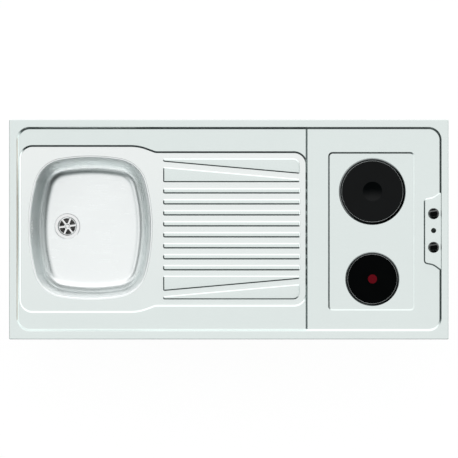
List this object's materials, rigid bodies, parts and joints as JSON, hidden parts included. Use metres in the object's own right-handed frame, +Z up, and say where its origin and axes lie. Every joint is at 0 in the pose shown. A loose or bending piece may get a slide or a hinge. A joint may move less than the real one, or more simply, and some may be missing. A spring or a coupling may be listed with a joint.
{
  "type": "kitchenette sink and hob top",
  "caption": "Pressed stainless lay-on top with a deep bowl, ribbed drainer, two cast hotplates, knobs and indicator lamp, on a timber frame.",
  "frame": {"origin": "middle of the seat plane, the level of the timber's underside that lies on the cabinet", "axes": "+X to the hob side, +Y to the wall, +Z up"},
  "size_m": [1.2, 0.6, 0.2604],
  "materials": {
    "black_plastic": "smooth",
    "bowl_steel": "smooth satin, deep drawn",
    "brass_parts": "turned",
    "cast_plate": "matt black heat-proof coat",
    "chipboard": "raw chipboard",
    "damping_pad": "matt",
    "gland_plastic": "moulded",
    "hose_plastic": "smooth hose",
    "lamp_lens": "dark translucent lens",
    "loom_sleeve": "woven glass sleeve",
    "red_enamel": "enamel",
    "seal_rubber": "matt",
    "sheet_steel": "fine satin grain",
    "steatite": "unglazed",
    "strainer_steel": "polished",
    "switch_housing": "phenolic moulding",
    "timber": "planed spruce",
    "trim_ring": "polished stainless",
    "waste_plastic": "moulded",
    "zinc_steel": "zinc plated"
  },
  "bodies": {
    "top": {"batten_back": "timber", "batten_front": "timber", "batten_left": "timber", "batten_right": "timber", "bowl_pad": "damping_pad", "drainer_board": "chipboard", "earth_stud": "brass_parts", "fixing_straps": "zinc_steel", "front_base_plate": "zinc_steel", "front_clamp": "zinc_steel", "front_filling": "steatite", "front_plate": "cast_plate", "front_plate_dot": "red_enamel", "front_switch": "switch_housing", "front_switch_base": "steatite", "front_trim_ring": "trim_ring", "gland_body": "gland_plastic", "gland_nut": "gland_plastic", "hob_tray": "zinc_steel", "hose_clips": "zinc_steel", "lamp_body": "black_plastic", "lamp_clip": "zinc_steel", "lamp_lens": "lamp_lens", "middle_runner": "timber", "overflow_box": "waste_plastic", "overflow_hose": "hose_plastic", "overflow_screw": "strainer_steel", "overflow_seal": "seal_rubber", "plate_looms": "loom_sleeve", "plate_nuts": "zinc_steel", "plate_studs": "zinc_steel", "plate_terminals": "steatite", "rail_bowl": "timber", "rail_hob": "timber", "rear_base_plate": "zinc_steel", "rear_clamp": "zinc_steel", "rear_filling": "steatite", "rear_plate": "cast_plate", "rear_switch": "switch_housing", "rear_switch_base": "steatite", "rear_trim_ring": "trim_ring", "shaft_seals": "seal_rubber", "sink_bowl": "bowl_steel", "strainer_plate": "strainer_steel", "strainer_screw": "strainer_steel", "strainer_seal": "seal_rubber", "strap_screws": "zinc_steel", "supply_block": "waste_plastic", "supply_loom": "loom_sleeve", "switch_nuts": "zinc_steel", "switch_studs": "zinc_steel", "tray_screws": "zinc_steel", "waste_body": "waste_plastic", "waste_seal": "seal_rubber", "worktop_sheet": "sheet_steel"},
    "rear_control": {"rear_knob": "black_plastic", "rear_shaft": "brass_parts"},
    "front_control": {"front_knob": "black_plastic", "front_shaft": "brass_parts"}
  },
  "joints": [
    {"name": "rear_knob_turn", "type": "hinge", "parent": "top", "child": "rear_control", "pos_m": [0.559, 0.0433, 0.0365], "axis": [0, 0, 1], "continuous": true},
    {"name": "front_knob_turn", "type": "hinge", "parent": "top", "child": "front_control", "pos_m": [0.559, -0.0485, 0.0365], "axis": [0, 0, 1], "continuous": true}
  ]
}
